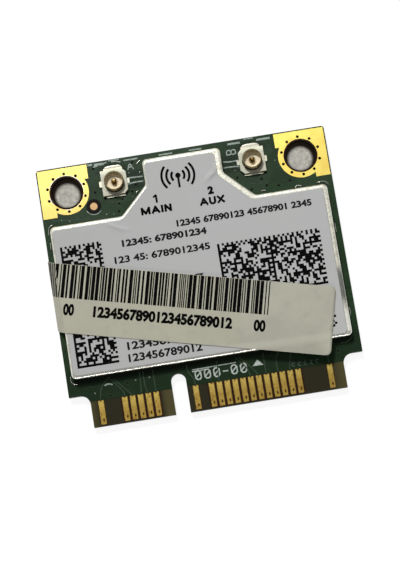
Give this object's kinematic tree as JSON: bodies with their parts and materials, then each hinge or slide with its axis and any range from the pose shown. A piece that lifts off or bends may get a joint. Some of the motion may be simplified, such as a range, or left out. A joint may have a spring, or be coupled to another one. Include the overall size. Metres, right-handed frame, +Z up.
{
  "type": "half-size mini wireless card",
  "caption": "Laptop wifi card: green circuit board with gold edge contacts and a key notch, screw holes, coaxial antenna ports, and a shield can under a label and a barcode sticker.",
  "frame": {"origin": "midway between the two screw holes, on the underside of the board", "axes": "+X along the card's width, +Y from the contacts towards the screw holes, +Z up on the component side"},
  "size_m": [0.0299, 0.0268, 0.0027],
  "materials": {
    "solder_mask": "dark green solder mask",
    "gold_plate": "gold plated copper",
    "bare_copper": "bare copper",
    "port_plastic": "cream heat-proof plastic",
    "port_plate": "pale gold plate",
    "tin_plate": "tin-plated sheet",
    "label_film": "pale grey printed film",
    "sticker_paper": "cream coated paper",
    "mould_compound": "black epoxy moulding",
    "solder_land": "soldered land",
    "fired_ceramic": "fired ceramic",
    "dark_ferrite": "ferrite",
    "capacitor_ceramic": "brown ceramic",
    "resistor_glaze": "black glaze",
    "terminal_tin": "tinned end cap"
  },
  "bodies": {
    "root": {"circuit_board": "solder_mask", "top_edge_contacts": "gold_plate", "bottom_edge_contacts": "gold_plate", "fiducial_pad": "bare_copper", "left_ground_pad_top": "gold_plate", "left_ground_pad_bottom": "gold_plate", "right_ground_pad_top": "gold_plate", "right_ground_pad_bottom": "gold_plate", "main_antenna_insulator": "port_plastic", "main_antenna_shell": "port_plate", "main_antenna_pin": "gold_plate", "aux_antenna_insulator": "port_plastic", "aux_antenna_shell": "port_plate", "aux_antenna_pin": "gold_plate", "shield_frame": "tin_plate", "shield_lid": "tin_plate", "shield_label": "label_film", "barcode_sticker": "sticker_paper", "radio_chip": "mould_compound", "radio_chip_lands": "solder_land", "memory_chip": "mould_compound", "memory_chip_lands": "solder_land", "main_front_end": "mould_compound", "main_front_end_lands": "solder_land", "aux_front_end": "mould_compound", "aux_front_end_lands": "solder_land", "crystal_base": "fired_ceramic", "crystal_lid": "tin_plate", "capacitor_bodies": "capacitor_ceramic", "capacitor_terminals": "terminal_tin", "resistor_bodies": "resistor_glaze", "resistor_terminals": "terminal_tin", "supply_inductor": "dark_ferrite", "inductor_terminals": "terminal_tin", "antenna_filters": "fired_ceramic", "filter_terminals": "terminal_tin"}
  },
  "joints": []
}
